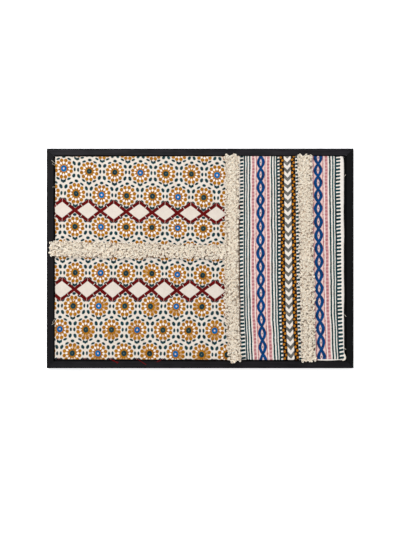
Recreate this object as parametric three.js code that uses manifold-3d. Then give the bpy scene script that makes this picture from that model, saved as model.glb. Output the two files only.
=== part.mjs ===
// A framed textile, lying on its back: printed cloth with three strips of looped pile, turned down
// over a board that rests in a black wooden frame. Millimetres.
// X runs along the frame's long side, Y up the hung picture, +Z out of its face, z = 0 is the back.
import * as THREE from 'three';
import { mergeVertices } from 'three/addons/utils/BufferGeometryUtils.js';
import Module from 'manifold-3d';

// Frame
const frameLength = 980;
const frameHeight = 702;
const railFace = 22;
const railDepth = 28;
const railArris = 0.8;
const ledgeReach = 22;
const ledgeTop = 14;
const mitreGap = 0.3;

// Board and cloth
const touchGap = 0.3;
const boardThickness = 8;
const clothThickness = 2;
const clothToBoardEdge = 8.5;
const turnDown = 6;
const turnRadius = 2.4;
const clothLift = 1.4;
const clothCornerRound = 3.2;
const clothColumns = 24;
const clothRows = 17;
// Low waves, their lengths in mm over two pi, flat near the strips and along the edges.
const clothWaveLength = { across: 61, up: 47, slant: 190, bend: 83 };
const clothFlatByStrip = { within: 36, freeFrom: 72 };
const clothFlatByEdge = { within: 4, freeFrom: 40 };
// The cut edges wander: size in mm and waves along the whole side.
const edgeWanderX = [{ size: 0.5, waves: 3.7 }, { size: 0.3, waves: 6.5 }];
const edgeWanderY = [{ size: 0.3, waves: 4.9 }, { size: 0.2, waves: 9.1 }];
// The lip of cloth below the stripes and the selvedge that springs out at the last corner.
const lip = { depth: 2, from: 0.86, full: 0.93, fade: 0.94, end: 0.98 };
const selvedgeSpring = { reach: 4.6, from: 0.035, full: 0.01 };
// The cloth's four corners: it sits a little out of square in its frame.
const clothCorners = {
  leftTop: [-462.8, 325.4],
  rightTop: [459.6, 327.6],
  leftBottom: [-464.9, -322.6],
  rightBottom: [460.4, -325.4],
};

// Pile strips
const pileRimHeight = 4.6;
const pileCrownHeight = 9.2;
const pileLump = 1.5;
const pileRimWander = 1.6;
const pileCells = 5;
const pileStep = 20;
const pileEndStations = [0, 4, 10, 16, 24];
const pileEndRound = 16;
const pileClimb = 12;
const lockRadius = 2.6;
const lockTipRadius = 1.3;
const lockPitch = 22;
const lockRootShare = 0.86;
const lockClearance = 0.6;
const rimLock = { length: 7.5, splay: 0.9, rise: 0.12, jitter: 0.4 };
const endLock = { length: 13, rootInset: 4, fan: 0.7, splay: 0.4, rise: 0.05 };
const endLockOffsets = [-0.72, -0.4, -0.06, 0.3, 0.66];

const innerHalfLength = frameLength / 2 - railFace;
const innerHalfHeight = frameHeight / 2 - railFace;
const boardTop = ledgeTop + touchGap + boardThickness;
const clothTop = boardTop + touchGap + clothThickness;

const wasm = await Module();
wasm.setup();

const material = (color, roughness) => new THREE.MeshStandardMaterial({ color, roughness, metalness: 0 });
const blackWood = () => material(0x1c1c1e, 0.62);
const blackBoard = () => material(0x121213, 0.85);
const printedCotton = () => material(0xf0e8dc, 0.92);
const cottonPile = () => material(0xe4d8c4, 0.95);

const lerp = THREE.MathUtils.lerp;
const smoothstep = THREE.MathUtils.smoothstep;

// A repeatable number from 0 to 1 for each place, so that every strip is lumpy in its own way.
function unevenness(a, b, c) {
  const wave = Math.sin(a * 127.1 + b * 311.7 + c * 74.7) * 43758.5453;
  return wave - Math.floor(wave);
}

function namedMesh(name, geometry, finish) {
  const mesh = new THREE.Mesh(geometry, finish);
  mesh.name = name;
  return mesh;
}

// Closed slab between an upper and a lower grid of points, both [row][column], walled round its rim.
function slabBetween(upper, lower) {
  const rows = upper.length;
  const columns = upper[0].length;
  const count = rows * columns;
  const index = [];
  const at = (r, c) => r * columns + c;
  for (let r = 0; r < rows - 1; r++) {
    for (let c = 0; c < columns - 1; c++) {
      const [a, b, d, e] = [at(r, c), at(r, c + 1), at(r + 1, c + 1), at(r + 1, c)];
      index.push(a, b, d, a, d, e);
      index.push(a + count, d + count, b + count, a + count, e + count, d + count);
    }
  }
  const rim = [];
  for (let c = 0; c < columns - 1; c++) rim.push(at(0, c));
  for (let r = 0; r < rows - 1; r++) rim.push(at(r, columns - 1));
  for (let c = columns - 1; c > 0; c--) rim.push(at(rows - 1, c));
  for (let r = rows - 1; r > 0; r--) rim.push(at(r, 0));
  rim.forEach((a, k) => {
    const b = rim[(k + 1) % rim.length];
    index.push(a, a + count, b + count, a, b + count, b);
  });
  const positions = [...upper.flat(2), ...lower.flat(2)];
  const geometry = new THREE.BufferGeometry();
  geometry.setAttribute('position', new THREE.Float32BufferAttribute(positions, 3));
  geometry.setIndex(index);
  return geometry;
}

function toSolid(geometry) {
  const bare = geometry.clone();
  bare.deleteAttribute('normal');
  bare.deleteAttribute('uv');
  const merged = mergeVertices(bare, 1e-4);
  return new wasm.Manifold(new wasm.Mesh({
    numProp: 3,
    vertProperties: Float32Array.from(merged.attributes.position.array),
    triVerts: Uint32Array.from(merged.index.array),
  }));
}

function toGeometry(solid) {
  const mesh = solid.getMesh();
  const geometry = new THREE.BufferGeometry();
  geometry.setAttribute('position', new THREE.Float32BufferAttribute(mesh.vertProperties, 3));
  geometry.setIndex(Array.from(mesh.triVerts));
  return geometry;
}

// One mitred rail along X with its outer edge on y = 0: an L of face and ledge, cut at 45 degrees.
function mitredRail(length) {
  const section = new THREE.Shape([
    [0, 0], [railFace + ledgeReach, 0], [railFace + ledgeReach, ledgeTop], [railFace, ledgeTop],
    [railFace, railDepth - railArris], [railFace - railArris, railDepth],
    [railArris, railDepth], [0, railDepth - railArris],
  ].map(([across, up]) => new THREE.Vector2(across, up)));
  const geometry = new THREE.ExtrudeGeometry(section, { depth: 1, bevelEnabled: false });
  const point = geometry.attributes.position;
  for (let i = 0; i < point.count; i++) {
    const [across, up, end] = [point.getX(i), point.getY(i), point.getZ(i) > 0.5 ? 1 : -1];
    const reach = length / 2 - across - mitreGap * Math.SQRT1_2;
    point.setXYZ(i, end * reach, across, up);
  }
  return geometry;
}

function frameRails(group) {
  const sides = [
    { name: 'frame_rail_bottom', length: frameLength, turn: 0, outY: -frameHeight / 2, outX: 0 },
    { name: 'frame_rail_right', length: frameHeight, turn: Math.PI / 2, outY: 0, outX: frameLength / 2 },
    { name: 'frame_rail_top', length: frameLength, turn: Math.PI, outY: frameHeight / 2, outX: 0 },
    { name: 'frame_rail_left', length: frameHeight, turn: -Math.PI / 2, outY: 0, outX: -frameLength / 2 },
  ];
  for (const side of sides) {
    const rail = namedMesh(side.name, mitredRail(side.length), blackWood());
    rail.position.set(side.outX, side.outY, 0);
    rail.rotation.z = side.turn;
    group.add(rail);
  }
}

// The board lies inside the cloth's turned edges and reaches onto the ledge all round.
function mountBoard(group) {
  const { leftTop, rightTop, leftBottom, rightBottom } = clothCorners;
  const left = Math.max(leftTop[0], leftBottom[0]) + clothToBoardEdge;
  const right = Math.min(rightTop[0], rightBottom[0]) - clothToBoardEdge;
  const top = Math.min(leftTop[1], rightTop[1]) - clothToBoardEdge;
  const bottom = Math.max(leftBottom[1], rightBottom[1]) + clothToBoardEdge;
  const board = namedMesh('mount_board',
    new THREE.BoxGeometry(right - left, top - bottom, boardThickness), blackBoard());
  board.position.set((left + right) / 2, (top + bottom) / 2, boardTop - boardThickness / 2);
  group.add(board);
}

// Centre lines and widths of the pile strips. The cross strip ends against the left one.
const bands = {
  cross: { from: [-475, 30.2], to: [79.5, 21.4], fromWidth: 52, toWidth: 47, seed: 3 },
  left: { from: [106.0, -327], to: [101.2, 329], fromWidth: 50, toWidth: 43, seed: 7 },
  right: { from: [345.8, -326], to: [334.0, 328], fromWidth: 45, toWidth: 43.5, seed: 11 },
};

// How far a place lies outside every strip: the strips' stitching holds the cloth flat beneath them.
function distanceToBands(x, y) {
  let nearest = Infinity;
  for (const { from, to, fromWidth } of Object.values(bands)) {
    const line = new THREE.Line3(new THREE.Vector3(...from, 0), new THREE.Vector3(...to, 0));
    const foot = line.closestPointToPoint(new THREE.Vector3(x, y, 0), true, new THREE.Vector3());
    nearest = Math.min(nearest, foot.distanceTo(new THREE.Vector3(x, y, 0)) - fromWidth / 2);
  }
  return nearest;
}

// Low waves in the cloth, never below the board.
function clothWave(x, y) {
  const { across, up, slant, bend } = clothWaveLength;
  const wave = Math.sin(x / across + Math.sin(y / bend)) * Math.cos(y / up + x / slant);
  const free = smoothstep(distanceToBands(x, y), clothFlatByStrip.within, clothFlatByStrip.freeFrom);
  const edge = Math.min(
    x - clothCorners.leftTop[0], clothCorners.rightTop[0] - x,
    clothCorners.leftTop[1] - y, y - clothCorners.leftBottom[1]);
  const inner = smoothstep(edge, clothFlatByEdge.within, clothFlatByEdge.freeFrom);
  return clothLift * (0.5 + 0.5 * wave) * free * inner;
}

const wander = (waves, share) => waves.reduce(
  (sum, wave, k) => sum + wave.size * Math.sin(2 * Math.PI * wave.waves * share + k), 0);

// The point at shares u and v of the cloth's length and height. Near an edge it follows the cut.
function clothPoint(u, v) {
  const { leftTop, rightTop, leftBottom, rightBottom } = clothCorners;
  const x = lerp(lerp(leftBottom[0], rightBottom[0], u), lerp(leftTop[0], rightTop[0], u), v);
  const y = lerp(lerp(leftBottom[1], leftTop[1], v), lerp(rightBottom[1], rightTop[1], v), u);
  const nearSide = smoothstep(Math.abs(2 * u - 1), 0.8, 1);
  const nearFoot = smoothstep(Math.abs(2 * v - 1), 0.8, 1);
  const underStripes = smoothstep(u, lip.from, lip.full) * (1 - smoothstep(u, lip.fade, lip.end));
  const lastCorner = 1 - smoothstep(v, selvedgeSpring.full, selvedgeSpring.from);
  return [
    x + wander(edgeWanderX, v) * nearSide + (u > 0.5 ? selvedgeSpring.reach * lastCorner * nearSide : 0),
    y + wander(edgeWanderY, u) * nearFoot - (v < 0.5 ? lip.depth * underStripes * nearFoot : 0),
  ];
}

// Which way is inward at an edge line, or 0 between the edges.
function inwardAt(share) {
  if (share === 0) return 1;
  return share === 1 ? -1 : 0;
}

function printedCloth(group) {
  // Each side ends in three close lines: the foot of the turned edge, its bend and its flat start.
  const turned = [
    { inset: 0, drop: turnDown },
    { inset: 0, drop: turnRadius * 0.6 },
    { inset: turnRadius, drop: 0 },
  ];
  const lines = (cells) => [
    ...turned.map(({ inset, drop }) => ({ share: 0, inset, drop })),
    ...Array.from({ length: cells - 1 }, (_, i) => ({ share: (i + 1) / cells, inset: 0, drop: 0 })),
    ...turned.map(({ inset, drop }) => ({ share: 1, inset: -inset, drop })).reverse(),
  ];
  const shell = (inward) => lines(clothRows).map((row) => lines(clothColumns).map((column) => {
    const [edgeX, edgeY] = clothPoint(column.share, row.share);
    const [sideX, sideY] = [inwardAt(column.share), inwardAt(row.share)];
    const corner = sideX && sideY ? clothCornerRound : 0;
    const x = edgeX + column.inset + sideX * (inward + corner);
    const y = edgeY + row.inset + sideY * (inward + corner);
    const drop = Math.max(row.drop, column.drop);
    const foot = drop === turnDown;
    return [x, y, clothTop + clothWave(x, y) - drop - (foot ? 0 : inward)];
  }));
  group.add(namedMesh('printed_cloth', slabBetween(shell(0), shell(clothThickness)), printedCotton()));
}

// What a strip lies on: the cloth, and past the opening's edge the face of the rail.
function seatUnder(x, y) {
  const pastX = Math.abs(x) - innerHalfLength;
  const pastY = Math.abs(y) - innerHalfHeight;
  const climb = smoothstep(Math.max(pastX, pastY), -pileClimb, -1);
  return lerp(clothTop, railDepth, climb) + touchGap;
}

function bandFrame(band) {
  const start = new THREE.Vector2(...band.from);
  const along = new THREE.Vector2(...band.to).sub(start);
  const length = along.length();
  along.normalize();
  const side = new THREE.Vector2(-along.y, along.x);
  return {
    length,
    at(distance, offset) {
      const share = distance / length;
      const halfWidth = lerp(band.fromWidth, band.toWidth, share) / 2;
      return start.clone().addScaledVector(along, distance).addScaledVector(side, offset * halfWidth);
    },
    along,
    side,
  };
}

// The left strip's side stays straight where the cross strip meets it.
function meetsCross(name, point) {
  return name === 'left' && Math.abs(point.y - bands.cross.to[1]) < bands.cross.toWidth;
}

// Close sections at both ends, where the strip climbs onto the rail, and even steps between them.
function stationsAlong(length) {
  const lastNear = pileEndStations.at(-1);
  const steps = Math.round((length - 2 * lastNear) / pileStep);
  const middle = Array.from({ length: steps - 1 }, (_, i) => (
    lastNear + (length - 2 * lastNear) * (i + 1) / steps));
  return [...pileEndStations, ...middle, ...pileEndStations.map((d) => length - d).reverse()];
}

function lumpySlab(name, band) {
  const frame = bandFrame(band);
  const stations = stationsAlong(frame.length);
  const upper = [];
  const lower = [];
  for (let c = 0; c <= pileCells; c++) {
    const offset = 2 * c / pileCells - 1;
    const upperLine = [];
    const lowerLine = [];
    stations.forEach((distance, r) => {
      const point = frame.at(distance, offset);
      const toEnd = Math.min(distance, frame.length - distance);
      const atRim = Math.abs(offset) === 1 || toEnd === 0;
      if (Math.abs(offset) === 1 && toEnd > 0 && !meetsCross(name, point)) {
        point.addScaledVector(frame.side, pileRimWander * (unevenness(r, c, band.seed) - 0.5));
      }
      const endRound = Math.min(1, 0.3 + 0.7 * toEnd / pileEndRound);
      const crown = Math.sqrt(1 - offset * offset) * (pileCrownHeight - pileRimHeight) * endRound;
      const lump = atRim ? 0 : pileLump * 2 * (unevenness(r, c, band.seed + 0.5) - 0.5);
      const seat = seatUnder(point.x, point.y);
      upperLine.push([point.x, point.y, seat + pileRimHeight + crown + lump]);
      lowerLine.push([point.x, point.y, seat]);
    });
    upper.push(upperLine);
    lower.push(lowerLine);
  }
  return slabBetween(upper, lower);
}

// A four-sided tapering lock of yarn from its root inside the slab outwards.
function lockOfYarn(root, heading, length, rise) {
  const geometry = new THREE.CylinderGeometry(lockTipRadius, lockRadius, length, 4, 1);
  geometry.translate(0, length / 2, 0);
  const direction = new THREE.Vector3(Math.cos(heading), Math.sin(heading), rise).normalize();
  const upright = new THREE.Vector3(0, 1, 0);
  geometry.applyQuaternion(new THREE.Quaternion().setFromUnitVectors(upright, direction));
  geometry.translate(...root);
  return geometry;
}

function rimLocks(name, band) {
  const frame = bandFrame(band);
  const headingAlong = Math.atan2(frame.along.y, frame.along.x);
  const locks = [];
  const perSide = Math.round(frame.length / lockPitch);
  for (const side of [-1, 1]) {
    for (let k = 0; k < perSide; k++) {
      const jitter = rimLock.jitter * (unevenness(k, side, band.seed) - 0.5);
      const distance = frame.length * (k + 0.5 + jitter) / perSide;
      const root = frame.at(distance, side * lockRootShare);
      const nearEnd = name === 'cross' && frame.length - distance < lockPitch;
      if (nearEnd || (meetsCross(name, root) && side === 1)) continue;
      const splay = rimLock.splay * (unevenness(k, side, band.seed + 2) - 0.5);
      const heading = headingAlong + side * Math.PI / 2 + splay;
      const height = seatUnder(root.x, root.y) + lockRadius + lockClearance;
      locks.push(lockOfYarn([root.x, root.y, height], heading, rimLock.length, rimLock.rise));
    }
  }
  const ends = name === 'cross' ? [0] : [0, 1];
  for (const end of ends) {
    for (const offset of endLockOffsets) {
      const root = frame.at(end ? frame.length - endLock.rootInset : endLock.rootInset, offset);
      const fan = endLock.fan * offset * (end ? 1 : -1);
      const splay = fan + endLock.splay * (unevenness(end, offset, band.seed) - 0.5);
      const length = endLock.length * lerp(0.7, 1.15, unevenness(offset, end, band.seed + 4));
      const height = railDepth + touchGap + lockRadius + lockClearance;
      const heading = headingAlong + (end ? 0 : Math.PI) + splay;
      locks.push(lockOfYarn([root.x, root.y, height], heading, length, endLock.rise));
    }
  }
  return locks;
}

function pileBands(group) {
  for (const [name, band] of Object.entries(bands)) {
    let solid = toSolid(lumpySlab(name, band));
    for (const lock of rimLocks(name, band)) solid = solid.add(toSolid(lock));
    group.add(namedMesh(`pile_band_${name}`, toGeometry(solid), cottonPile()));
  }
}

const framedTextile = new THREE.Group();
frameRails(framedTextile);
mountBoard(framedTextile);
printedCloth(framedTextile);
pileBands(framedTextile);

export default framedTextile;
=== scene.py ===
# A framed textile on its back: block printed cotton with three strips of looped pile, turned down
# over a board in a black wooden frame. X runs along the frame, Y up the hung picture, +Z out of
# its face. Blender works in metres, and the sizes in the dictionaries are millimetres.
import math
import random
from functools import partial, reduce

import bmesh
import bpy
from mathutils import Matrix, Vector, noise


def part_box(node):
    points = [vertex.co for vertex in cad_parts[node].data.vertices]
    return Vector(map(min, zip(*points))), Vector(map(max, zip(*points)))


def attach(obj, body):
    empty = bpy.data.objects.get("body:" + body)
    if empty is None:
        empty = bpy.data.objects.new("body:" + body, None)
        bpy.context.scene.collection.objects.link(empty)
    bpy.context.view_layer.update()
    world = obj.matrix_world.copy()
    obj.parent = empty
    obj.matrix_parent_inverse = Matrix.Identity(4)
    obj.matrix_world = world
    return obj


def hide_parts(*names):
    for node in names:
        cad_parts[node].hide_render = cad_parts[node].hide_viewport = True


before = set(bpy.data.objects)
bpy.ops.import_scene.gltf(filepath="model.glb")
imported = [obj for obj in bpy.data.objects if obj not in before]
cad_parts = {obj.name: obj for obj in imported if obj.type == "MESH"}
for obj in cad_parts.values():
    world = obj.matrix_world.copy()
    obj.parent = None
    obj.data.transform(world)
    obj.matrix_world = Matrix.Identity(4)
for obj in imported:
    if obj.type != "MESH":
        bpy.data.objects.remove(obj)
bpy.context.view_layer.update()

mm = 0.001
touchGap = 0.3
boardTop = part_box("mount_board")[1].z / mm
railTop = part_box("frame_rail_left")[1].z / mm


def lerp(a, b, share):
    return a + (b - a) * share


def smoothstep(value, low, high):
    share = min(1, max(0, (value - low) / (high - low)))
    return share * share * (3 - 2 * share)


def keyed(value, places, results):
    # straight lines between the rows of a short table, and on past its ends
    last = len(places) - 2
    k = next((i for i in range(last) if (value - places[i + 1]) * (places[0] - places[1]) > 0), last)
    return lerp(results[k], results[k + 1], (value - places[k]) / (places[k + 1] - places[k]))


def linearColour(hexColour):
    parts = [int(hexColour[i:i + 2], 16) / 255 for i in (1, 3, 5)]
    return [p / 12.92 if p <= 0.04045 else ((p + 0.055) / 1.055) ** 2.4 for p in parts] + [1]


def addNode(tree, kind, *values, out=0, named={}, **settings):
    # kind may end in an operation; values go to the sockets in the order the editor shows them
    kind, _, operation = kind.partition(" ")
    node = tree.nodes.new("ShaderNode" + kind)
    if operation:
        node.operation = operation
    for name, value in settings.items():
        setattr(node, name, value)
    pairs = list(zip([s for s in node.inputs if s.enabled], values))
    pairs += [(node.inputs[name], value) for name, value in named.items()]
    for socket, value in pairs:
        if isinstance(value, bpy.types.NodeSocket):
            tree.links.new(value, socket)
        elif value is not None:
            socket.default_value = value
    shown = [s for s in node.outputs if s.enabled]
    return shown[out] if shown else node


def scaleFor(size):
    # a noise's scale per metre from the size of its patches in mm
    return 1 / (size * mm)


def startMaterial(name):
    material = bpy.data.materials.new(name)
    material.use_nodes = True
    material.node_tree.nodes.clear()
    return material, partial(addNode, material.node_tree)


def finishPiece(name, mesh, material, replaced=()):
    piece = bpy.data.objects.new(name, mesh)
    bpy.context.scene.collection.objects.link(piece)
    mesh.materials.clear()
    mesh.materials.append(material)
    for face in mesh.polygons:
        face.use_smooth = True
    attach(piece, "root")
    if replaced:
        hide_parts(*replaced)
    return piece


# Camera straight above, aimed a little below the picture's middle.
view = {"lens": 100, "sensor": 36, "pixelsHigh": 534, "mmPerPixel": 3.193, "aimX": -0.4, "aimY": -27.5}

camera = bpy.data.objects.new("camera", bpy.data.cameras.new("camera"))
camera.data.lens = view["lens"]
camera.data.sensor_width = view["sensor"]
height = view["lens"] / view["sensor"] * view["pixelsHigh"] * view["mmPerPixel"] + railTop
camera.location = Vector((view["aimX"], view["aimY"], height)) * mm
bpy.context.scene.collection.objects.link(camera)
bpy.context.scene.camera = camera
bpy.context.scene.view_settings.view_transform = "Standard"
print("camera placed")


# Plain pale floor and soft studio light.
studio = {
    "floorSide": 30000, "floorColour": "#ffffff", "floorGlow": 0.62,
    "skyColour": "#fbfcff", "skyStrength": 0.34,
    "lamps": {
        "keyLamp": {"at": (-1650, 1500, 2750), "size": 1900, "watts": 92},
        "fillLamp": {"at": (2300, 900, 2500), "size": 1800, "watts": 20},
        "footLamp": {"at": (300, -2600, 2300), "size": 1800, "watts": 20},
    },
}


def makeStudio():
    bm = bmesh.new()
    bmesh.ops.create_grid(bm, x_segments=2, y_segments=2, size=studio["floorSide"] / 2 * mm)
    bmesh.ops.translate(bm, verts=bm.verts, vec=(0, 0, -0.5 * mm))
    mesh = bpy.data.meshes.new("floor")
    bm.to_mesh(mesh)
    bm.free()
    material, add = startMaterial("whitePaintedFloor")  # matt white, lit from within a little
    colour = linearColour(studio["floorColour"])
    add("OutputMaterial", add("BsdfPrincipled", named={
        "Base Color": colour, "Roughness": 0.9, "Emission Color": colour,
        "Emission Strength": studio["floorGlow"]}))
    mesh.materials.append(material)
    floor = bpy.data.objects.new("floor", mesh)
    bpy.context.scene.collection.objects.link(floor)

    for name, lamp in studio["lamps"].items():
        light = bpy.data.lights.new(name, "AREA")
        light.shape = "DISK"
        light.size = lamp["size"] * mm
        light.energy = lamp["watts"]
        holder = bpy.data.objects.new(name, light)
        holder.location = Vector(lamp["at"]) * mm
        holder.rotation_euler = (-holder.location).to_track_quat("-Z", "Y").to_euler()
        bpy.context.scene.collection.objects.link(holder)

    world = bpy.data.worlds.new("studio")
    world.use_nodes = True
    world.node_tree.nodes.clear()
    addWorld = partial(addNode, world.node_tree)
    addWorld("OutputWorld", addWorld("Background", linearColour(studio["skyColour"]), studio["skyStrength"]))
    bpy.context.scene.world = world


makeStudio()
print("floor and lamps placed")


# Printed cloth. The corners, waves and cut edges are those of its plain solid in the frame.
cloth = {
    "leftTop": (-462.8, 325.4), "rightTop": (459.6, 327.6),
    "leftBottom": (-464.9, -322.6), "rightBottom": (460.4, -325.4),
    "thickness": 2, "cell": 5.5, "lift": 1.4,
    "waveAcross": 61, "waveUp": 47, "waveSlant": 190, "waveBend": 83,
    "flatByStrip": 36, "freeFromStrip": 72, "flatByEdge": 4, "freeFromEdge": 40,
    "crease": 0.35, "creaseLength": 26,
    "turn": ((0, 0), (1.0, 0.25), (1.9, 1.0), (2.4, 2.4), (2.4, 6.0)),
    "cornerRound": {-1: 0.5, 1: 2.2}, "cornerReach": 11,
    "bulgeAt": (166, 134), "bulge": 3.4, "bulgeHalf": 8, "cornerFlare": 4.6, "footDip": 2,
    # by shares of the length or height: size and count of the cut edges' waves, and where they,
    # the bulges, the flare at the last corner and the dip under the stripes set in and end
    "sideWander": ((0.5, 3.7), (0.3, 6.5), (0.15, 31)), "footWander": ((0.3, 4.9), (0.2, 9.1), (0.15, 43)),
    "wanderFrom": 0.8, "bulgeFrom": 0.9, "flareEnds": (0.01, 0.035),
    "dipStarts": (0.86, 0.93), "dipEnds": (0.94, 0.98),
}
clothTop = boardTop + touchGap + cloth["thickness"]

# Middle lines of the pile strips, each from its left or lower end, and the widths of their plain
# solids. At these shares of its length a strip sways to its left and is so wide. The curls at its
# two ends start from so far across it.
strips = {
    "cross": {"from": (-475, 30.2), "to": (79.5, 21.4), "solidWidth": 52, "seed": 3,
              "at": (0, 1), "sway": (0, -1.5), "wide": (50, 43.5), "curlsFrom": (-1, -1)},
    "left": {"from": (106.0, -327), "to": (101.2, 329), "solidWidth": 50, "seed": 7,
             "at": (0, 0.15, 0.3, 0.44, 0.73, 1), "sway": (-5, 0.5, 3.9, 4.4, 1.1, -0.8),
             "wide": (41.5, 43, 44.5, 45, 41, 45), "curlsFrom": (-0.1, -0.5)},
    "right": {"from": (345.8, -326), "to": (334.0, 328), "solidWidth": 45, "seed": 11,
              "at": (0, 0.5, 1), "sway": (0, 0, 1.5), "wide": (47, 44.3, 47), "curlsFrom": (-0.4, -1)},
}


def distanceToStrips(x, y):
    nearest = 1000
    for strip in strips.values():
        start = Vector(strip["from"])
        along = Vector(strip["to"]) - start
        share = min(1, max(0, (Vector((x, y)) - start).dot(along) / along.length_squared))
        foot = start + along * share
        nearest = min(nearest, (foot - Vector((x, y))).length - strip["solidWidth"] / 2)
    return nearest


def clothWave(x, y):
    wave = math.sin(x / cloth["waveAcross"] + math.sin(y / cloth["waveBend"]))
    wave *= math.cos(y / cloth["waveUp"] + x / cloth["waveSlant"])
    free = smoothstep(distanceToStrips(x, y), cloth["flatByStrip"], cloth["freeFromStrip"])
    edge = min(x - cloth["leftTop"][0], cloth["rightTop"][0] - x,
               cloth["leftTop"][1] - y, y - cloth["leftBottom"][1])
    inner = smoothstep(edge, cloth["flatByEdge"], cloth["freeFromEdge"])
    crease = noise.noise(Vector((x, y, 0)) / cloth["creaseLength"]) * cloth["crease"]
    return (cloth["lift"] * (0.5 + 0.5 * wave) * free + crease) * inner


def wander(waves, share):
    return sum(size * math.sin(2 * math.pi * count * share + k) for k, (size, count) in enumerate(waves))


def clothPlace(u, v):
    # a place on the cloth by its shares of the length and height, where the cut edges wander
    x = lerp(lerp(cloth["leftBottom"][0], cloth["rightBottom"][0], u),
             lerp(cloth["leftTop"][0], cloth["rightTop"][0], u), v)
    y = lerp(lerp(cloth["leftBottom"][1], cloth["leftTop"][1], v),
             lerp(cloth["rightBottom"][1], cloth["rightTop"][1], v), u)
    nearSide = smoothstep(abs(2 * u - 1), cloth["wanderFrom"], 1)
    nearFoot = smoothstep(abs(2 * v - 1), cloth["wanderFrom"], 1)
    underStripes = smoothstep(u, *cloth["dipStarts"]) * (1 - smoothstep(u, *cloth["dipEnds"]))
    lastCorner = 1 - smoothstep(v, *cloth["flareEnds"])
    x += wander(cloth["sideWander"], v) * nearSide
    y += wander(cloth["footWander"], u) * nearFoot
    if u > 0.5:
        x += cloth["cornerFlare"] * lastCorner * nearSide
    else:
        # two small bulges, where red of the print shows over the gap
        bulges = sum(1 - smoothstep(abs(y - at), 0, cloth["bulgeHalf"]) for at in cloth["bulgeAt"])
        x -= cloth["bulge"] * bulges * smoothstep(nearSide, cloth["bulgeFrom"], 1)
    if v < 0.5:
        y -= cloth["footDip"] * underStripes * nearFoot
    return x, y


# The flowered print, row by row down the cloth: where the row crosses the left side, its place in
# the block's repeat, its fall to the right, how much lower it sags past its first motif and beside
# the upright strip, where its first motif stands, and the motifs' spacing.
flowerRows = {
    "y": (359.2, 288.2, 209.0, 154.7, 102.6, 28.4, -45.4, -97.8, -151.5, -226.9, -302.9, -356.6),
    "repeat": (203, 128, 53, 0, -53, -128, -203, -256, -309, -384, -459, -512),
    "fall": (0.045, 0.043, 0.033, 0.028, 0.014, 0.011, 0.010, 0.009, 0.005, 0.005, 0.005, 0.005),
    "sagFirst": (6.6, 6.4, 2.5, 0, 0, 0, 0, 0, 0, 0, 0, 0),
    "sagByStrip": (0, 0, 0, 0, 0, 2.5, 4.4, 1.9, 0.5, 1.2, 2.4, 2.6),
    "motifX": (-435, -435.6, -437.6, -441.5, -440.8, -439.9, -439.8, -442, -447.5, -448.5, -450.7, -452),
    "spacing": (81.7, 81.6, 81.6, 82.2, 82.0, 81.6, 81.5, 81.7, 82.5, 82.5, 82.7, 82.7),
}
# The block itself: three rows in a repeat, each with its shift in pitches and its height.
flowerBlock = {"pitch": 81.5, "repeat": 256, "rows": ((0.5, 203), (0, 128), (0.5, 53)), "leftSide": -438,
               "sagFrom": (15, 85), "sagFades": (60, 560), "byStrip": (270, 440)}

# The stripes: their first chain, how far they drift to the right down the cloth, and their pitches.
stripePrint = {
    "chainX": 193.5, "driftY": (266, 107, -53, -181, -282), "driftLeft": (0, -0.8, 0, 1.5, 6.2),
    "driftRight": (0, 1.8, 3.7, 6.1, 10.2), "driftGrows": (200, 275),
    "looserFrom": 100.1, "looser": 0.93, "rise": 0.080, "chainPitch": 40.3,
    "nodeY": (327.2, 166.7, 80.6, -217.1, -306.1), "nodes": (-1, 3, 5, 12, 14),
}


def flowerPlace(x, y):
    across = x - flowerBlock["leftSide"]
    first = smoothstep(across, *flowerBlock["sagFrom"]) * (1 - smoothstep(across, *flowerBlock["sagFades"]))
    shares = {"fall": across, "sagFirst": first, "sagByStrip": smoothstep(across, *flowerBlock["byStrip"])}
    atLeft = y
    for _ in range(3):
        drops = [keyed(atLeft, flowerRows["y"], flowerRows[k]) * share for k, share in shares.items()]
        atLeft = y + sum(drops)
    up = keyed(atLeft, flowerRows["y"], flowerRows["repeat"])
    motifX = keyed(atLeft, flowerRows["y"], flowerRows["motifX"])
    spacing = keyed(atLeft, flowerRows["y"], flowerRows["spacing"])
    return (x - motifX) / spacing * flowerBlock["pitch"], up


def stripePlace(x, y):
    driftLeft = keyed(y, stripePrint["driftY"], stripePrint["driftLeft"])
    driftRight = keyed(y, stripePrint["driftY"], stripePrint["driftRight"])
    drift = lerp(driftLeft, driftRight, smoothstep(x, *stripePrint["driftGrows"]))
    across = x - drift - stripePrint["chainX"]
    level = y - stripePrint["rise"] * across
    along = keyed(level, stripePrint["nodeY"], stripePrint["nodes"]) * stripePrint["chainPitch"]
    past = across - stripePrint["looserFrom"]
    return (across if past < 0 else stripePrint["looserFrom"] + past * stripePrint["looser"]), along


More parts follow.
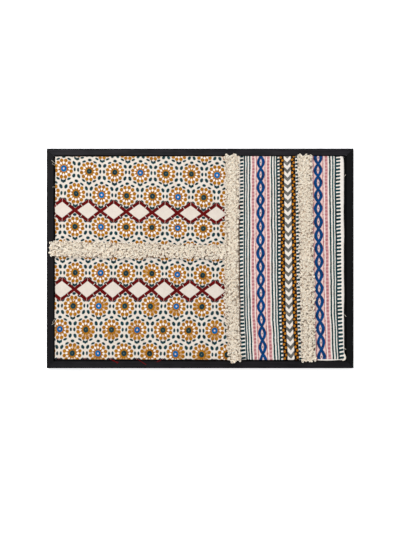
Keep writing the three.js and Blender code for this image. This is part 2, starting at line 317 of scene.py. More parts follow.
def clothMesh():
    length = cloth["rightTop"][0] - cloth["leftTop"][0]
    tall = cloth["leftTop"][1] - cloth["leftBottom"][1]
    bm = bmesh.new()
    bmesh.ops.create_grid(bm, x_segments=round(length / cloth["cell"]),
                          y_segments=round(tall / cloth["cell"]), size=0.5)
    outward = bm.verts.layers.float_vector.new("outward")
    turnReach = cloth["turn"][-1][0]
    tiny = 0.0001
    for vert in bm.verts:
        u, v = vert.co.x + 0.5, vert.co.y + 0.5
        side = Vector(((u > 1 - tiny) - (u < tiny), (v > 1 - tiny) - (v < tiny), 0))
        x, y = clothPlace(u, v)
        middle = Vector((2 * u - 1, 2 * v - 1))
        toCorner = Vector(((1 - abs(middle.x)) * length / 2, (1 - abs(middle.y)) * tall / 2)).length
        pull = cloth["cornerRound"][1 if middle.x > 0 else -1]
        pull *= 1 - smoothstep(toCorner, 0, cloth["cornerReach"])
        x -= turnReach * side.x + pull * math.copysign(1, middle.x)
        y -= turnReach * side.y + pull * math.copysign(1, middle.y)
        vert.co = (x, y, clothTop + clothWave(x, y))
        vert[outward] = side

    rim = [edge for edge in bm.edges if edge.is_boundary]
    for (out, down), (nextOut, nextDown) in zip(cloth["turn"], cloth["turn"][1:]):
        grown = bmesh.ops.extrude_edge_only(bm, edges=rim)["geom"]
        for vert in (g for g in grown if isinstance(g, bmesh.types.BMVert)):
            vert.co += vert[outward] * (nextOut - out)
            vert.co.z -= nextDown - down
        rim = [g for g in grown if isinstance(g, bmesh.types.BMEdge) and g.is_boundary]

    flowers = bm.loops.layers.uv.new("flowers")
    stripes = bm.loops.layers.uv.new("stripes")
    for face in bm.faces:
        for loop in face.loops:
            # the turned edge carries on the print as if the cloth lay flat
            spare = max(0, clothTop - loop.vert.co.z)
            flat = loop.vert.co + loop.vert[outward] * spare
            loop[flowers].uv = Vector(flowerPlace(flat.x, flat.y)) * mm
            loop[stripes].uv = Vector(stripePlace(flat.x, flat.y)) * mm
    bmesh.ops.scale(bm, vec=(mm, mm, mm), verts=bm.verts)
    bmesh.ops.recalc_face_normals(bm, faces=bm.faces)
    if sum(face.normal.z for face in bm.faces) < 0:
        bmesh.ops.reverse_faces(bm, faces=bm.faces)
    mesh = bpy.data.meshes.new("printedCloth")
    bm.to_mesh(mesh)
    bm.free()
    return mesh


# Shapes of the print. Each gives how far outside the shape a place lies, in mm.
def spot(add, place, at, half, turn=0):
    local = add("Mapping", place, (*at, 0), (0, 0, math.radians(turn)), (*half, 1), vector_type="TEXTURE")
    return add("Math MULTIPLY_ADD", add("VectorMath LENGTH", local), min(half), -min(half))


def line(add, across, at, half):
    return add("Math SUBTRACT", add("Math ABSOLUTE", add("Math SUBTRACT", across, at)), half)


def anyOf(add, *distances):
    return reduce(lambda a, b: add("Math MINIMUM", a, b), distances)


def allOf(add, *distances):
    return reduce(lambda a, b: add("Math MAXIMUM", a, b), distances)


# How many mm an ink takes to fade at a shape's edge.
inkEdge = {"crisp": 0.9, "soft": 1.4, "softer": 1.6, "blurred": 2.6, "bled": 3}


def inked(add, distance, edge="crisp"):
    # 1 inside the shape and 0 outside, with an edge as soft as ink in cloth
    return add("Math MULTIPLY_ADD", distance, -1 / inkEdge[edge], 0.5, use_clamp=True)


def over(add, below, colour, mask):
    return add("Mix", mask, below, colour, data_type="RGBA")


flowers = {
    "squash": 0.92, "petals": 12,
    "blueRadius": 9.2, "tealRadius": 8.4, "pinkEye": 2.5, "greyEye": 1.6,
    "ringRadius": 13.3, "spike": 7.0, "petalAt": 18.4, "petalHalf": (4.3, 2.6),
    "dotAt": 24.9, "dotHalf": (5.5, 5.7),
    "peak": 32.6, "peakRound": 1.2, "zigzagHalf": 5.2, "dashGap": 0.7,
    "bar": ((35.2, 0), (3.5, 6.4), 0), "leaf": ((32.9, 20.0), (4.9, 7.1), 24),
    "dash": ((17.2, 31.4), (6.3, 3.5), -28), "drop": ((0, 38.9), (6.0, 4.7), 0),
    "chevronAt": 40.6, "chevronSlope": 0.6, "chevronInk": 3.8, "chevronHalf": 8.0,
    # bleeding: its reach in a flower, how large its patches are, how much more there is for each mm
    # down the cloth, and between which values of the noise it grows from none to 0.85
    "bledRadius": 22, "bledGrain": 47.6, "bledDownwards": -0.00028, "bledFrom": (0.605, 0.665, 0, 0.85),
}


def flowerColour(add, place, inks, ground):
    pitch, repeat = flowerBlock["pitch"], flowerBlock["repeat"]
    x, y, _ = add("SeparateXYZ", place).node.outputs
    # the nearest flower of the three rows in a repeat
    local, reach = None, None
    for shift, up in flowerBlock["rows"]:
        rowPlace = add("VectorMath SUBTRACT", place, (shift * pitch, up, 0))
        rowLocal = add("VectorMath WRAP", rowPlace, (pitch / 2, repeat / 2, 1), (-pitch / 2, -repeat / 2, -1))
        rowReach = add("VectorMath LENGTH", rowLocal)
        if local is None:
            local, reach = rowLocal, rowReach
            continue
        closer = add("Math LESS_THAN", rowReach, reach)
        local = add("Mix", closer, local, rowLocal, data_type="VECTOR")
        reach = add("Math MINIMUM", rowReach, reach)
    localX, localY, _ = add("SeparateXYZ", local).node.outputs

    # every third flower along a row has a blue middle, the others a teal one
    column = add("Math DIVIDE", add("Math SUBTRACT", x, localX), pitch)
    third = add("Math SUBTRACT", add("Math PINGPONG", column, 1.5), 0.75)
    blue = add("Math GREATER_THAN", add("Math ABSOLUTE", third), 0.5)

    roundPlace = add("CombineXYZ", localX, add("Math MULTIPLY", localY, flowers["squash"]), 0)
    radius = add("VectorMath LENGTH", roundPlace)
    angle = add("Math ARCTAN2", add("Math MULTIPLY", localY, flowers["squash"]), localX)
    turns = add("Math MULTIPLY", angle, flowers["petals"] / (2 * math.pi))
    fromPetal = add("Math PINGPONG", turns, 0.5)
    arc = add("Math MULTIPLY", radius, 2 * math.pi / flowers["petals"])
    petalPlace = add("CombineXYZ", radius, add("Math MULTIPLY", arc, fromPetal), 0)
    dotSide = add("Math MULTIPLY", arc, add("Math SUBTRACT", 0.5, fromPetal))
    dotPlace = add("CombineXYZ", radius, dotSide, 0)
    spikes = add("Math POWER", add("Math MULTIPLY", fromPetal, 2), 2.0)
    ringEdge = add("Math MULTIPLY_ADD", spikes, flowers["spike"], flowers["ringRadius"])
    petals = spot(add, petalPlace, (flowers["petalAt"], 0), flowers["petalHalf"])
    ochre = anyOf(add, spot(add, dotPlace, (flowers["dotAt"], 0), flowers["dotHalf"]),
                  add("Math SUBTRACT", radius, ringEdge))
    middleEdge = add("Math MULTIPLY_ADD", blue, flowers["blueRadius"] - flowers["tealRadius"],
                     flowers["tealRadius"])
    middle = add("Math SUBTRACT", radius, middleEdge)
    eyeEdge = add("Math MULTIPLY_ADD", blue, flowers["pinkEye"] - flowers["greyEye"], flowers["greyEye"])
    eye = add("Math SUBTRACT", radius, eyeEdge)

    # dark marks round each flower's cell: bars, leaves and dashes alike on all sides, a drop above
    # and a small chevron below
    folded = add("VectorMath ABSOLUTE", local)
    foldedX = add("Math ABSOLUTE", localX)
    slope = flowers["chevronSlope"]
    arm = add("Math ADD", localY, add("Math MULTIPLY_ADD", foldedX, -slope, flowers["chevronAt"]))
    arm = add("Math MULTIPLY", add("Math ABSOLUTE", arm), 1 / math.hypot(1, slope))
    chevron = allOf(add, add("Math SUBTRACT", arm, flowers["chevronInk"]),
                    add("Math SUBTRACT", foldedX, flowers["chevronHalf"]))
    marks = anyOf(
        add,
        spot(add, folded, *flowers["bar"]),
        spot(add, folded, *flowers["leaf"]),
        spot(add, folded, *flowers["dash"]),
        spot(add, local, *flowers["drop"]),
        chevron)

    # a chain of diamonds once in a repeat, drawn in red dashes, two on each slanting side
    slant = math.hypot(pitch / 2, flowers["peak"])
    leanX, leanY = pitch / 2 / slant, flowers["peak"] / slant
    offRow = add("Math ABSOLUTE", add("Math WRAP", y, repeat / 2, -repeat / 2))
    fromPeak = add("Math PINGPONG", x, pitch / 2)
    rounded = add("VectorMath LENGTH", add("CombineXYZ", fromPeak, flowers["peakRound"], 0))
    edgeAt = add("MapRange", rounded, flowers["peakRound"], pitch / 2, flowers["peak"], 0)
    outside = add("Math MULTIPLY", add("Math SUBTRACT", offRow, edgeAt), leanX)
    alongDash = add("Math ADD", add("Math MULTIPLY", fromPeak, leanX),
                    add("Math MULTIPLY", add("Math SUBTRACT", flowers["peak"], offRow), leanY))
    gaps = anyOf(add, line(add, alongDash, slant / 2, flowers["dashGap"]),
                 line(add, fromPeak, 0, flowers["dashGap"] / 2))
    chain = add("Math SUBTRACT", add("Math ABSOLUTE", outside), flowers["zigzagHalf"])
    zigzag = allOf(add, chain, add("Math MULTIPLY", gaps, -1))
    marks = allOf(add, marks, add("Math MULTIPLY", chain, -1))
    diamond = inked(add, outside)

    # here and there the ochre has bled into the petals, more so down the cloth
    smudge = add("Math MULTIPLY_ADD", y, flowers["bledDownwards"],
                 add("TexNoise", place, 1 / flowers["bledGrain"], 3, 0.6))
    bled = add("Math MULTIPLY", add("MapRange", smudge, *flowers["bledFrom"]),
               inked(add, add("Math SUBTRACT", radius, flowers["bledRadius"]), "bled"))

    colour = over(add, ground, inks["white"], inked(add, petals, "softer"))
    colour = over(add, colour, inks["bledOchre"], bled)
    colour = over(add, colour, inks["ochre"], inked(add, ochre))
    middleColour = over(add, inks["teal"], inks["blue"], blue)
    colour = over(add, colour, middleColour, inked(add, middle))
    eyeColour = over(add, inks["grey"], inks["paleRose"], blue)
    colour = over(add, colour, eyeColour, inked(add, eye, "soft"))
    colour = over(add, colour, inks["teal"], inked(add, marks))
    colour = over(add, colour, inks["cream"], diamond)
    return over(add, colour, inks["red"], inked(add, zigzag)), inked(add, zigzag)


stripes = {
    "startsAt": -71, "redRunsOn": 6, "groupHalf": 88.5,
    "strand": 4.3, "strandLean": 0.86, "chainHalf": 8.5, "eyeRim": 2.6, "eyeDot": (1.5, 3.2),
    "nodeDot": (2.1, 3.2), "sideLine": (14.6, 1.5),
    "roseBand": (24.0, 5.0), "roseDot": (3.6, 4.0), "rosePitch": 10.8,
    "tealLine": (35.2, 2.5), "greyLine": (44.0, 2.3), "rail": (51.6, 2.6),
    "rungEnd": 63.6, "firstRungs": (40, 160, -0.8, 3.2), "rungGap": (54.7, 0.45),
    "rungHalf": 3.4, "rungPitch": 11.15, "rungLean": 0.04, "rungStart": 10.5,
    "plaitAt": 85.4, "plaitHalf": 25.2, "vHalf": 12.4, "vPitch": 24.35, "vStart": -6.9,
    "vInk": 4.3, "vLean": 0.72,
    "zigzagAt": 18.1, "zigzagHalf": 7.2, "bead": (3.7, 3.8), "beadSwing": 2.5, "beadPitch": 10.2,
}


def stripeColour(add, place, inks, ground):
    x, y, _ = add("SeparateXYZ", place).node.outputs
    side = add("Math WRAP", x, stripes["groupHalf"], -stripes["groupHalf"])
    off = add("Math ABSOLUTE", side)

    # two strands that cross at every chainPitch, with an eye between the crossings
    pitch = stripePrint["chainPitch"]
    fromNode = add("Math PINGPONG", y, pitch / 2)
    bow = add("Math MULTIPLY", add("Math SINE", add("Math MULTIPLY", fromNode, math.pi / pitch)),
              stripes["chainHalf"])
    beyond = add("Math SUBTRACT", off, bow)
    strand = add("Math MULTIPLY_ADD", add("Math ABSOLUTE", beyond), stripes["strandLean"],
                 -stripes["strand"])
    offNode = add("CombineXYZ", off, fromNode, 0)
    eye = add("Math ADD", beyond, stripes["strand"] + stripes["eyeRim"])
    eyeDot = spot(add, offNode, (0, pitch / 2), stripes["eyeDot"])
    nodeDot = spot(add, offNode, (stripes["sideLine"][0], 0), stripes["nodeDot"])
    sideLine = line(add, off, *stripes["sideLine"])
    insideLine = add("Math SUBTRACT", off, stripes["sideLine"][0])
    roseBand = line(add, off, *stripes["roseBand"])
    rosePlace = add("CombineXYZ", off, add("Math PINGPONG", y, stripes["rosePitch"] / 2), 0)
    roseDots = spot(add, rosePlace, (stripes["roseBand"][0], 0), stripes["roseDot"])

    rungY = add("Math MULTIPLY_ADD", x, stripes["rungLean"], add("Math SUBTRACT", y, stripes["rungStart"]))
    offRung = add("Math ABSOLUTE", add("Math WRAP", rungY, stripes["rungPitch"] / 2,
                                       -stripes["rungPitch"] / 2))
    # the first ladder's rungs grow longer down the cloth
    first = add("Math LESS_THAN", x, 0)
    rungEnd = add("Math MULTIPLY_ADD", first, add("MapRange", y, *stripes["firstRungs"]), stripes["rungEnd"])
    pastEnd = add("Math MAXIMUM", add("Math SUBTRACT", off, rungEnd), 0)
    rung = add("Math SUBTRACT", add("VectorMath LENGTH", add("CombineXYZ", pastEnd, offRung, 0)),
               stripes["rungHalf"])
    rungs = allOf(add, rung, add("Math SUBTRACT", stripes["rail"][0], off))
    # and they stop a little short of its rail
    short = allOf(add, line(add, off, *stripes["rungGap"]), x)
    rungs = allOf(add, rungs, add("Math MULTIPLY", short, -1))
    tealLines = anyOf(add, rungs, line(add, off, *stripes["rail"]), line(add, off, *stripes["tealLine"]))
    greyLine = line(add, off, *stripes["greyLine"])

    # the plait between the two chains: a column of chevrons with beaded zigzags beside it
    offPlait = add("Math SUBTRACT", x, stripes["plaitAt"])
    plaitSide = add("Math ABSOLUTE", offPlait)
    chevronY = add("Math ADD", add("Math SUBTRACT", y, stripes["vStart"]), plaitSide)
    chevronY = add("Math WRAP", chevronY, stripes["vPitch"] / 2, -stripes["vPitch"] / 2)
    chevron = add("Math MULTIPLY_ADD", add("Math ABSOLUTE", chevronY), stripes["vLean"], -stripes["vInk"])
    chevron = allOf(add, chevron, add("Math SUBTRACT", plaitSide, stripes["vHalf"]))
    offZigzag = add("Math SUBTRACT", plaitSide, stripes["zigzagAt"])
    zigzag = add("Math SUBTRACT", add("Math ABSOLUTE", offZigzag), stripes["zigzagHalf"])
    # orange beads that sit by turns to the left and right of the zigzag's middle
    beadTurn = add("Math PINGPONG", y, stripes["beadPitch"])
    outer = add("Math GREATER_THAN", beadTurn, stripes["beadPitch"] / 2)
    beadX = add("Math MULTIPLY_ADD", outer, -2 * stripes["beadSwing"], stripes["beadSwing"])
    offBead = add("Math SUBTRACT", stripes["beadPitch"] / 2,
                  add("Math ABSOLUTE", add("Math SUBTRACT", beadTurn, stripes["beadPitch"] / 2)))
    beads = spot(add, add("CombineXYZ", add("Math ADD", offZigzag, beadX), offBead, 0), (0, 0),
                 stripes["bead"])

    colour = over(add, ground, inks["rose"], inked(add, roseBand, "softer"))
    colour = over(add, colour, inks["darkRose"], inked(add, roseDots, "blurred"))
    colour = over(add, colour, inks["paleRose"], inked(add, insideLine))
    colour = over(add, colour, inks["midRose"], inked(add, sideLine, "soft"))
    colour = over(add, colour, inks["darkRose"], inked(add, nodeDot, "soft"))
    colour = over(add, colour, inks["rose"], inked(add, beyond))
    colour = over(add, colour, inks["white"], inked(add, eye, "soft"))
    colour = over(add, colour, inks["grey"], inked(add, eyeDot, "soft"))
    colour = over(add, colour, inks["chainBlue"], inked(add, strand))
    colour = over(add, colour, inks["greyTeal"], inked(add, greyLine))
    colour = over(add, colour, inks["teal"], inked(add, tealLines))
    plait = over(add, inks["plaitCream"], inks["grey"], inked(add, chevron))
    plait = over(add, plait, inks["black"], inked(add, zigzag))
    plait = over(add, plait, inks["orange"], inked(add, beads))
    plaitOnly = add("Math SUBTRACT", plaitSide, stripes["plaitHalf"])
    return over(add, colour, plait, inked(add, plaitOnly))


# Block print inks, each with a lighter and a darker tone where the block was less or more charged.
inkColours = {
    "white": ("#fdf8f1", "#f5ece2"), "cream": ("#eae0d4", "#dfd3c6"), "plaitCream": ("#f5ede3", "#e9dfd4"),
    "ochre": ("#be801c", "#8d5000"), "bledOchre": ("#c8964c", "#a06c22"),
    "teal": ("#224a51", "#02191f"), "greyTeal": ("#3b6265", "#092a31"),
    "blue": ("#007cc4", "#003f7a"), "chainBlue": ("#004d90", "#001f42"), "red": ("#730206", "#440001"),
    "paleRose": ("#f2d8d0", "#e0b2ab"), "rose": ("#ebc3be", "#cb9392"), "midRose": ("#d59a99", "#a5555f"),
    "darkRose": ("#cc9295", "#9c4652"), "grey": ("#7d7b76", "#4a4a46"),
    "black": ("#1c1914", "#080806"), "orange": ("#cb851f", "#995604"),
}
# The bare lip's left and right ends and its upper edge, and how far the block's edge wobbles.
canvas = {"threadPitch": 0.85, "threadHeight": 0.25, "bareLip": (376, 452, -322.2),
          "wideWobble": 5, "fineWobble": 2.2}
# Sizes of what is uneven in the print: patches of ink as a wooden block leaves them, blotches where
# it was more charged, bends of the printed lines, bleeding along the threads, and thin ink.
cottonGrain = {"patches": 3.85, "blotches": 23.8, "wide": 55.5, "fine": 3.03, "thin": 1.92}


def blockPrintedCotton():
    # Plain woven cotton, printed by hand with wooden blocks: matt, the ink a little uneven, its
    # edges soft, the weave showing as a fine grain. Such cloth has a thread every 0.4 mm or so,
    # and they are drawn about twice as coarse, so that they show.
    material, add = startMaterial("blockPrintedCotton")
    spread = add("TexCoord", out=3)
    patches = add("TexNoise", spread, scaleFor(cottonGrain["patches"]), 3, 0.6)
    blotches = add("TexNoise", spread, scaleFor(cottonGrain["blotches"]), 4, 0.65)
    blotches = add("MapRange", blotches, 0.35, 0.7, 0, 1)
    charge = add("MapRange", add("Math MULTIPLY_ADD", blotches, 0.28, patches), 0.38, 0.88, 0, 1)
    wide = add("TexNoise", spread, scaleFor(cottonGrain["wide"]), 2, 0.5, out=1)
    fine = add("TexNoise", spread, scaleFor(cottonGrain["fine"]), 2, 0.5, out=1)
    centred = add("VectorMath SUBTRACT", wide, (0.5, 0.5, 0.5))
    centredFine = add("VectorMath SUBTRACT", fine, (0.5, 0.5, 0.5))
    wobble = add("VectorMath ADD", add("VectorMath SCALE", centred, canvas["wideWobble"]),
                 add("VectorMath SCALE", centredFine, canvas["fineWobble"]))

    inks = {name: add("Mix", charge, linearColour(light), linearColour(dark), data_type="RGBA")
            for name, (light, dark) in inkColours.items()}
    ground = add("Mix", blotches, linearColour("#ebe2d7"), linearColour("#dfd3c5"), data_type="RGBA")
    places = {}
    for name in ("flowers", "stripes"):
        inMm = add("VectorMath SCALE", add("UVMap", uv_map=name), 1 / mm)
        places[name] = add("VectorMath MULTIPLY", add("VectorMath ADD", inMm, wobble), (1, 1, 0))
    paler = add("Mix", blotches, linearColour("#faf4ec"), linearColour("#eee5da"), data_type="RGBA")
    field, red = flowerColour(add, places["flowers"], inks, ground)
    striped = stripeColour(add, places["stripes"], inks, paler)
    stripeX = add("SeparateXYZ", places["stripes"]).node.outputs[0]
    printed = over(add, field, striped, add("Math GREATER_THAN", stripeX, stripes["startsAt"]))
    # the field's red dashes run on a little into the first stripe
    runOn = add("Math COMPARE", stripeX, stripes["startsAt"], stripes["redRunsOn"])
    printed = over(add, printed, inks["red"], add("Math MULTIPLY", red, runOn))

    # the lip of bare cloth below the second chain
    x, y, _ = add("SeparateXYZ", spread).node.outputs
    left, right, foot = (edge * mm for edge in canvas["bareLip"])
    bare = add("Math MULTIPLY", add("Math LESS_THAN", y, foot),
               add("Math COMPARE", x, (left + right) / 2, (right - left) / 2))
    printed = over(add, printed, inks["white"], bare)

    thin = add("TexNoise", spread, scaleFor(cottonGrain["thin"]), 3, 0.7)
    wearAndPaintedLight = over(add, printed, ground, add("MapRange", thin, 0.5, 0.75, 0, 0.04))
    # a thread lies over and under by turns, so two of them make a full wave
    waves = add("VectorMath SCALE", spread, math.pi / (canvas["threadPitch"] * mm))
    across, up, _ = add("SeparateXYZ", add("VectorMath ADD", waves, centredFine)).node.outputs
    weave = add("Math MULTIPLY", add("Math SINE", across), add("Math SINE", up))
    relief = add("Math ADD", weave, add("Math MULTIPLY", patches, 1.4))
    # painted shade: the colour darkens where the weave and the patches sink, in step with the bump
    shaded = add("Mix", 0.5, wearAndPaintedLight, add("MapRange", relief, -1, 2.2, 0.82, 1.06), data_type="RGBA",
                 blend_type="MULTIPLY")
    bump = add("Bump", 0.5, canvas["threadHeight"] * mm, None, relief)
    add("OutputMaterial", add("BsdfPrincipled", named={
        "Base Color": shaded, "Roughness": 0.92, "Specular IOR Level": 0.06,
        "Sheen Weight": 0.03, "Sheen Roughness": 0.5, "Normal": bump}))
    return material


cottonPrint = blockPrintedCotton()
printedCloth = finishPiece("printedCloth", clothMesh(), cottonPrint, ["printed_cloth"])
solidify = printedCloth.modifiers.new("clothThickness", "SOLIDIFY")
solidify.thickness = cloth["thickness"] * mm
solidify.offset = -1
print("cloth printed, faces:", len(printedCloth.data.polygons))


# Loose threads at the cut edges and the selvedge that has sprung out at the last corner.
threads = {
    "radius": 0.45, "redRadius": 0.9, "unevenEach": 3.33,
    "sunk": 0.6, "secondRise": 0.7, "clearOfRail": 0.1, "hover": 0.4,
    "selvedgeRadius": 2.0, "selvedgeSunk": 0.4, "selvedgeTaper": (0.4, 0.8, 1, 1, 0.9, 0.5),
    "selvedge": ((460.8, -303), (463.6, -311), (465.2, -317), (463.8, -322.5), (459.5, -326), (454, -326.6)),
    "plain": (
        ((-463.4, 304), (-467, 306), (-470.4, 310), (-474, 313.5)),
        ((-463.6, 298), (-468, 299), (-472, 302.5)),
        ((-463.8, 228), (-467.5, 229), (-471, 227.5)),
        ((-464.6, -195), (-468.5, -198), (-471.5, -203), (-470, -209)),
        ((-464.6, -205), (-468, -209), (-473.5, -212)),
        ((460.0, 262), (463.6, 264.5), (465.5, 268)),
        ((460.6, -180), (464.6, -183), (466.5, -186.5)),
        ((460.8, -287), (464.8, -289), (466.6, -292)),
    ),
    "red": (
        ((-284, -323.4), (-278, -327.4), (-270, -330.4), (-260, -331.4)),
        ((-277, -324.4), (-271, -330.2), (-263, -334.8)),
        ((-197, -323.8), (-188, -328.6), (-180, -335.4), (-172.5, -339.2)),
        ((-125, -324.2), (-131, -328.2), (-138.6, -330.6)),
    ),
}


def yarnCurve(name, radius):
    curve = bpy.data.curves.new(name, "CURVE")
    curve.dimensions = "3D"
    curve.bevel_depth = radius * mm
    curve.bevel_resolution = 1
    curve.use_fill_caps = True
    return curve


def addStrand(curve, points, radii=None, rounded=False):
    spline = curve.splines.new("NURBS" if rounded else "POLY")
    spline.points.add(len(points) - 1)
    for k, (target, point) in enumerate(zip(spline.points, points)):
        target.co = (point[0] * mm, point[1] * mm, point[2] * mm, 1)
        target.radius = radii[k] if radii else 1
    if rounded:
        spline.use_endpoint_u = True
        spline.order_u = 4
        spline.resolution_u = 4


def meshOfCurve(curve):
    holder = bpy.data.objects.new(curve.name, curve)
    mesh = bpy.data.meshes.new_from_object(holder)
    bpy.data.objects.remove(holder)
    return mesh


def makeThreads(name, strands, radius, material, edge=None):
    curve = yarnCurve(name, radius)
    onRail = railTop + radius + threads["clearOfRail"]
    for points in strands:
        heights = [clothTop - threads["sunk"], lerp(clothTop, onRail, threads["secondRise"])]
        heights += [onRail + threads["hover"]] * (len(points) - 2)
        addStrand(curve, [(x, y, z) for (x, y), z in zip(points, heights)], rounded=True)
    if edge:
        share = threads["selvedgeRadius"] / radius
        addStrand(curve, [(x, y, clothTop - threads["selvedgeSunk"]) for x, y in edge],
                  [share * taper for taper in threads["selvedgeTaper"]], rounded=True)
    return finishPiece(name, meshOfCurve(curve), material)


def threadMaterial(name, light, dark):
    # Single threads pulled out of the cloth: matt cotton, a little uneven, and the red ones soaked
    # through with the deep red ink of the print.
    material, add = startMaterial(name)
    tone = add("TexNoise", add("TexCoord", out=3), scaleFor(threads["unevenEach"]), 2, 0.5)
    colour = add("Mix", tone, linearColour(light), linearColour(dark), data_type="RGBA")
    add("OutputMaterial", add("BsdfPrincipled", named={
        "Base Color": colour, "Roughness": 0.9, "Specular IOR Level": 0.1}))
    return material


# Looped pile: soft cotton yarn, tufted in close curls on a strip of backing.
pile = {
    "yarn": 1.3, "uneven": (0.9, 1.12), "rootHeight": 1.6, "twist": 0.5, "droop": 0.45, "bend": 0.35,
    "rowPitch": 4.6, "columnPitch": 4.5, "rimInset": 4.6, "jitter": 0.6, "sideJitter": 0.8,
    "reach": (2.6, 6.2), "width": (4.0, 6.4), "top": (4.6, 8.8), "points": 8,
    "rimReach": (4.0, 10), "rimSplay": 1.1, "rimShare": 0.75,
    "endReach": (4, 10.5), "endSplay": 0.5, "endFan": 0.7, "endShare": 0.5, "endInset": 2, "endRound": 5,
    "backingHeight": 2.0, "backingCrown": (1.25, 0.75), "backingInset": 1.5, "backingShare": 0.93,
    "backingCell": 8, "backingColumns": 8, "climb": 12, "shadeHeights": (1.8, 6.3),
    "toneGrain": 2.63, "fleckGrain": 2.94, "fibreGrain": 0.91, "fibreHeight": 0.4,
}
innerHalf = (468, 329)


def seatUnder(x, y):
    # what a strip lies on: the cloth, and past the opening's edge the face of the rail
    past = max(abs(x) - innerHalf[0], abs(y) - innerHalf[1])
    return lerp(clothTop, railTop, smoothstep(past, -pile["climb"], -1)) + touchGap


def stripPlace(strip, distance, offset):
    start, end = Vector(strip["from"]), Vector(strip["to"])
    along = (end - start).normalized()
    side = Vector((-along.y, along.x))
    share = distance / (end - start).length
    halfWidth = keyed(share, strip["at"], strip["wide"]) / 2
    return start + along * distance + side * (keyed(share, strip["at"], strip["sway"]) + offset * halfWidth)


def addLoop(curve, rand, root, heading, reach, width, top):
    # one curl of yarn: out from its root, over, and back beside itself
    out = Vector((math.cos(heading), math.sin(heading)))
    side = Vector((-out.y, out.x))
    twist = rand.uniform(-1, 1) * pile["twist"]
    droop = rand.uniform(0, pile["droop"])
    bend = rand.uniform(-1, 1) * pile["bend"] * reach
    points = []
    for k in range(pile["points"]):
        share = k / (pile["points"] - 1)
        lift = math.sin(math.pi * share)
        far = reach * lift
        aside = width / 2 * math.sin(2 * math.pi * share + twist * lift) + bend * lift * lift
        place = root + out * far + side * aside
        height = pile["rootHeight"] + top * lift ** 0.6 * (1 - droop * lift ** 4)
        points.append((place.x, place.y, seatUnder(place.x, place.y) + height))
    addStrand(curve, points, [rand.uniform(*pile["uneven"]) for _ in points])


def pileLoops(name, strip):
    rand = random.Random(strip["seed"])
    curve = yarnCurve("pile_" + name, pile["yarn"])
    length = (Vector(strip["to"]) - Vector(strip["from"])).length
    heading = math.atan2(strip["to"][1] - strip["from"][1], strip["to"][0] - strip["from"][0])
    rows = round(length / pile["rowPitch"])
    meanWidth = sum(strip["wide"]) / len(strip["wide"]) - 2 * pile["rimInset"]
    columns = math.ceil(meanWidth / pile["columnPitch"])
    for r in range(rows + 1):
        for c in range(columns + 1):
            across = (c + rand.uniform(-1, 1) * pile["sideJitter"]) / columns * 2 - 1
            across = max(-1, min(1, across)) * (1 - 2 * pile["rimInset"] / meanWidth)
            distance = (r + rand.uniform(-1, 1) * pile["jitter"]) * length / rows
            inset = pile["endInset"] + pile["endRound"] * abs(across) ** 3
            root = stripPlace(strip, max(inset, min(length - inset, distance)), across)
            turn = rand.uniform(-math.pi, math.pi)
            reach = rand.uniform(*pile["reach"])
            atEnd = r in (0, 1) or (name != "cross" and r in (rows - 1, rows))
            if c in (0, columns) and rand.random() < pile["rimShare"]:
                reach = rand.uniform(*pile["rimReach"])
                turn = heading + math.copysign(math.pi / 2, across) + rand.uniform(-1, 1) * pile["rimSplay"]
            curlsHere = across > strip["curlsFrom"][0 if r < 2 else 1]
            if atEnd and curlsHere and rand.random() < pile["endShare"]:
                turn = heading + (math.pi if r < 2 else 0) + pile["endFan"] * across * (-1 if r < 2 else 1)
                turn += rand.uniform(-1, 1) * pile["endSplay"]
                reach = rand.uniform(*pile["endReach"])
            addLoop(curve, rand, root, turn, reach, rand.uniform(*pile["width"]), rand.uniform(*pile["top"]))
    return meshOfCurve(curve)


def pileBacking(strip):
    # the low backing that carries the tufts, as a closed slab
    length = (Vector(strip["to"]) - Vector(strip["from"])).length
    bm = bmesh.new()
    bmesh.ops.create_grid(bm, x_segments=round(length / pile["backingCell"]),
                          y_segments=pile["backingColumns"], size=0.5)
    bottom = bmesh.ops.duplicate(bm, geom=bm.verts[:] + bm.edges[:] + bm.faces[:])["geom"]
    lower = {g for g in bottom if isinstance(g, bmesh.types.BMVert)}
    rims = [e for e in bm.edges if e.is_boundary]
    bmesh.ops.bridge_loops(bm, edges=rims)
    crown, fall = pile["backingCrown"]
    for vert in bm.verts:
        offset = vert.co.y * 2
        inset = pile["backingInset"] + pile["endRound"] * abs(offset) ** 3
        distance = lerp(inset, length - inset, vert.co.x + 0.5)
        place = stripPlace(strip, distance, offset * pile["backingShare"])
        height = 0 if vert in lower else pile["backingHeight"] * (crown - fall * offset ** 4)
        vert.co = (place.x, place.y, seatUnder(place.x, place.y) + height)
    bmesh.ops.scale(bm, vec=(mm, mm, mm), verts=bm.verts)
    bmesh.ops.recalc_face_normals(bm, faces=bm.faces)
    return bm


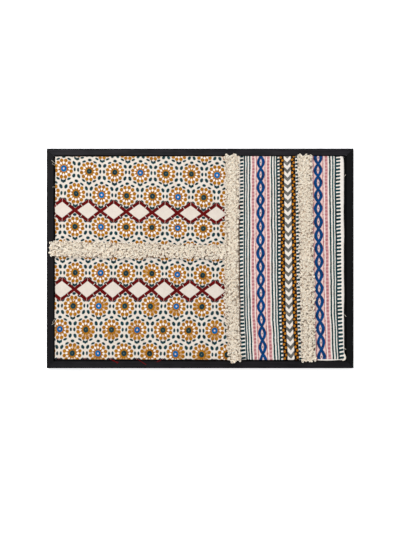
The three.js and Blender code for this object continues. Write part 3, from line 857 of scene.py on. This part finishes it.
def loopedCotton():
    # Undyed soft spun cotton yarn: warm off-white, matt, with a fuzz of fibre. Brown flecks stand for
    # seed flecks and for painted shade between the tufts, and the yarn gets painted shade, browner the
    # lower it lies. Single fibres are 0.02 mm thick, and the fuzz is drawn with a grain of 0.9 mm so that it
    # shows.
    material, add = startMaterial("loopedCottonYarn")
    spread = add("TexCoord", out=3)
    tone = add("MapRange", add("TexNoise", spread, scaleFor(pile["toneGrain"]), 3, 0.6), 0.3, 0.7, 0, 1)
    colour = add("Mix", tone, linearColour("#fffcf1"), linearColour("#f2e2c9"), data_type="RGBA")
    # painted shade: the lower a part of the yarn lies, the browner it is, for the shade between the tufts
    low, high = ((clothTop + touchGap + height) * mm for height in pile["shadeHeights"])
    depth = add("SeparateXYZ", spread).node.outputs[2]
    paintedShade = add("MapRange", depth, low, high, 1, 0)
    colour = over(add, colour, linearColour("#7e4e14"), add("Math MULTIPLY", paintedShade, 0.9))
    # brown flecks: partly seed flecks, partly painted shade standing for the dark gaps between the tufts
    seedAndShadeFlecks = add("TexNoise", spread, scaleFor(pile["fleckGrain"]), 2, 0.5)
    colour = over(add, colour, linearColour("#a86e2e"), add("MapRange", seedAndShadeFlecks, 0.57, 0.64, 0, 0.8))
    fibres = add("TexNoise", spread, scaleFor(pile["fibreGrain"]), 3, 0.7)
    bump = add("Bump", 0.55, pile["fibreHeight"] * mm, None, fibres)
    add("OutputMaterial", add("BsdfPrincipled", named={
        "Base Color": colour, "Roughness": 0.95, "Specular IOR Level": 0.12,
        "Sheen Weight": 0.08, "Sheen Roughness": 0.6, "Normal": bump}))
    return material


pileCotton = loopedCotton()
for stripName, strip in strips.items():
    bm = pileBacking(strip)
    loops = pileLoops(stripName, strip)
    bm.from_mesh(loops)
    bandMesh = bpy.data.meshes.new("pileBand_" + stripName)
    bm.to_mesh(bandMesh)
    bm.free()
    bpy.data.meshes.remove(loops)
    finishPiece("pileBand_" + stripName, bandMesh, pileCotton,
                                 ["pile_band_" + stripName])
    print("pile strip", stripName, "triangles:", sum(len(f.vertices) - 2 for f in bandMesh.polygons))

bareCotton = threadMaterial("bareCottonThread", "#fff9ee", "#e9dcc8")
redCotton = threadMaterial("redInkedCottonThread", "#940912", "#5c0209")
looseThreads = [
    makeThreads("looseThreads", threads["plain"], threads["radius"], bareCotton, threads["selvedge"]),
    makeThreads("redThreads", threads["red"], threads["redRadius"], redCotton),
]


# Frame and board
wood = {
    "grainLength": 90, "grainWidth": 1.6, "grainHeight": 0.12, "cloudSize": 45.5,
    # painted light: each bar's paler tone, set lighter or darker for how the light falls on it
    "wearAndPaintedLight": {"top": "#2a282d", "bottom": "#211f23", "left": "#151318", "right": "#09090a"},
}


def stainedWood(name, alongX, wearAndPaintedLight):
    # Pine stained black and rubbed with wax: near black and satin, with the grain faintly raised
    # and a little paler grey in it. That grey is painted light, set bar by bar for how the light falls on
    # each, the top one lightest.
    material, add = startMaterial(name)
    spread = add("TexCoord", out=3)
    along, across = scaleFor(wood["grainLength"]), scaleFor(wood["grainWidth"])
    stretch = (along, across, across) if alongX else (across, along, across)
    grainPlace = add("VectorMath MULTIPLY", spread, stretch)
    grain = add("TexNoise", grainPlace, 1, 4, 0.6)
    cloudy = add("TexNoise", spread, scaleFor(wood["cloudSize"]), 3, 0.5)
    tone = add("MapRange", add("Math ADD", grain, add("Math MULTIPLY", cloudy, 0.5)), 0.5, 1.0, 0, 1)
    colour = add("Mix", tone, linearColour("#060607"), linearColour(wearAndPaintedLight), data_type="RGBA")
    roughness = add("MapRange", grain, 0.3, 0.7, 0.42, 0.6)
    bump = add("Bump", 0.5, wood["grainHeight"] * mm, None, grain)
    add("OutputMaterial", add("BsdfPrincipled", named={
        "Base Color": colour, "Roughness": roughness, "Specular IOR Level": 0.12, "Normal": bump}))
    return material


boardPaint = {"peel": 2.38, "peelHeight": 0.15, "cloudSize": 83.3}


def paintedBoard():
    # Plywood under matt black paint: flat black, slightly orange-peeled from the roller.
    material, add = startMaterial("mattBlackPaintedPly")
    spread = add("TexCoord", out=3)
    stipple = add("TexNoise", spread, scaleFor(boardPaint["peel"]), 2, 0.5)
    cloudy = add("TexNoise", spread, scaleFor(boardPaint["cloudSize"]), 3, 0.6)
    colour = add("Mix", cloudy, linearColour("#1d1d1f"), linearColour("#2e2e30"), data_type="RGBA")
    bump = add("Bump", 0.4, boardPaint["peelHeight"] * mm, None, stipple)
    add("OutputMaterial", add("BsdfPrincipled", named={
        "Base Color": colour, "Roughness": 0.8, "Specular IOR Level": 0.2, "Normal": bump}))
    return material


# four copies of one stain, each with its own painted light
for side, wearAndPaintedLight in wood["wearAndPaintedLight"].items():
    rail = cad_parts["frame_rail_" + side]
    rail.data.materials.clear()
    rail.data.materials.append(stainedWood("blackStainedPine_" + side, side in ("top", "bottom"), wearAndPaintedLight))
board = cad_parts["mount_board"]
board.data.materials.clear()
board.data.materials.append(paintedBoard())
print("frame and board finished")
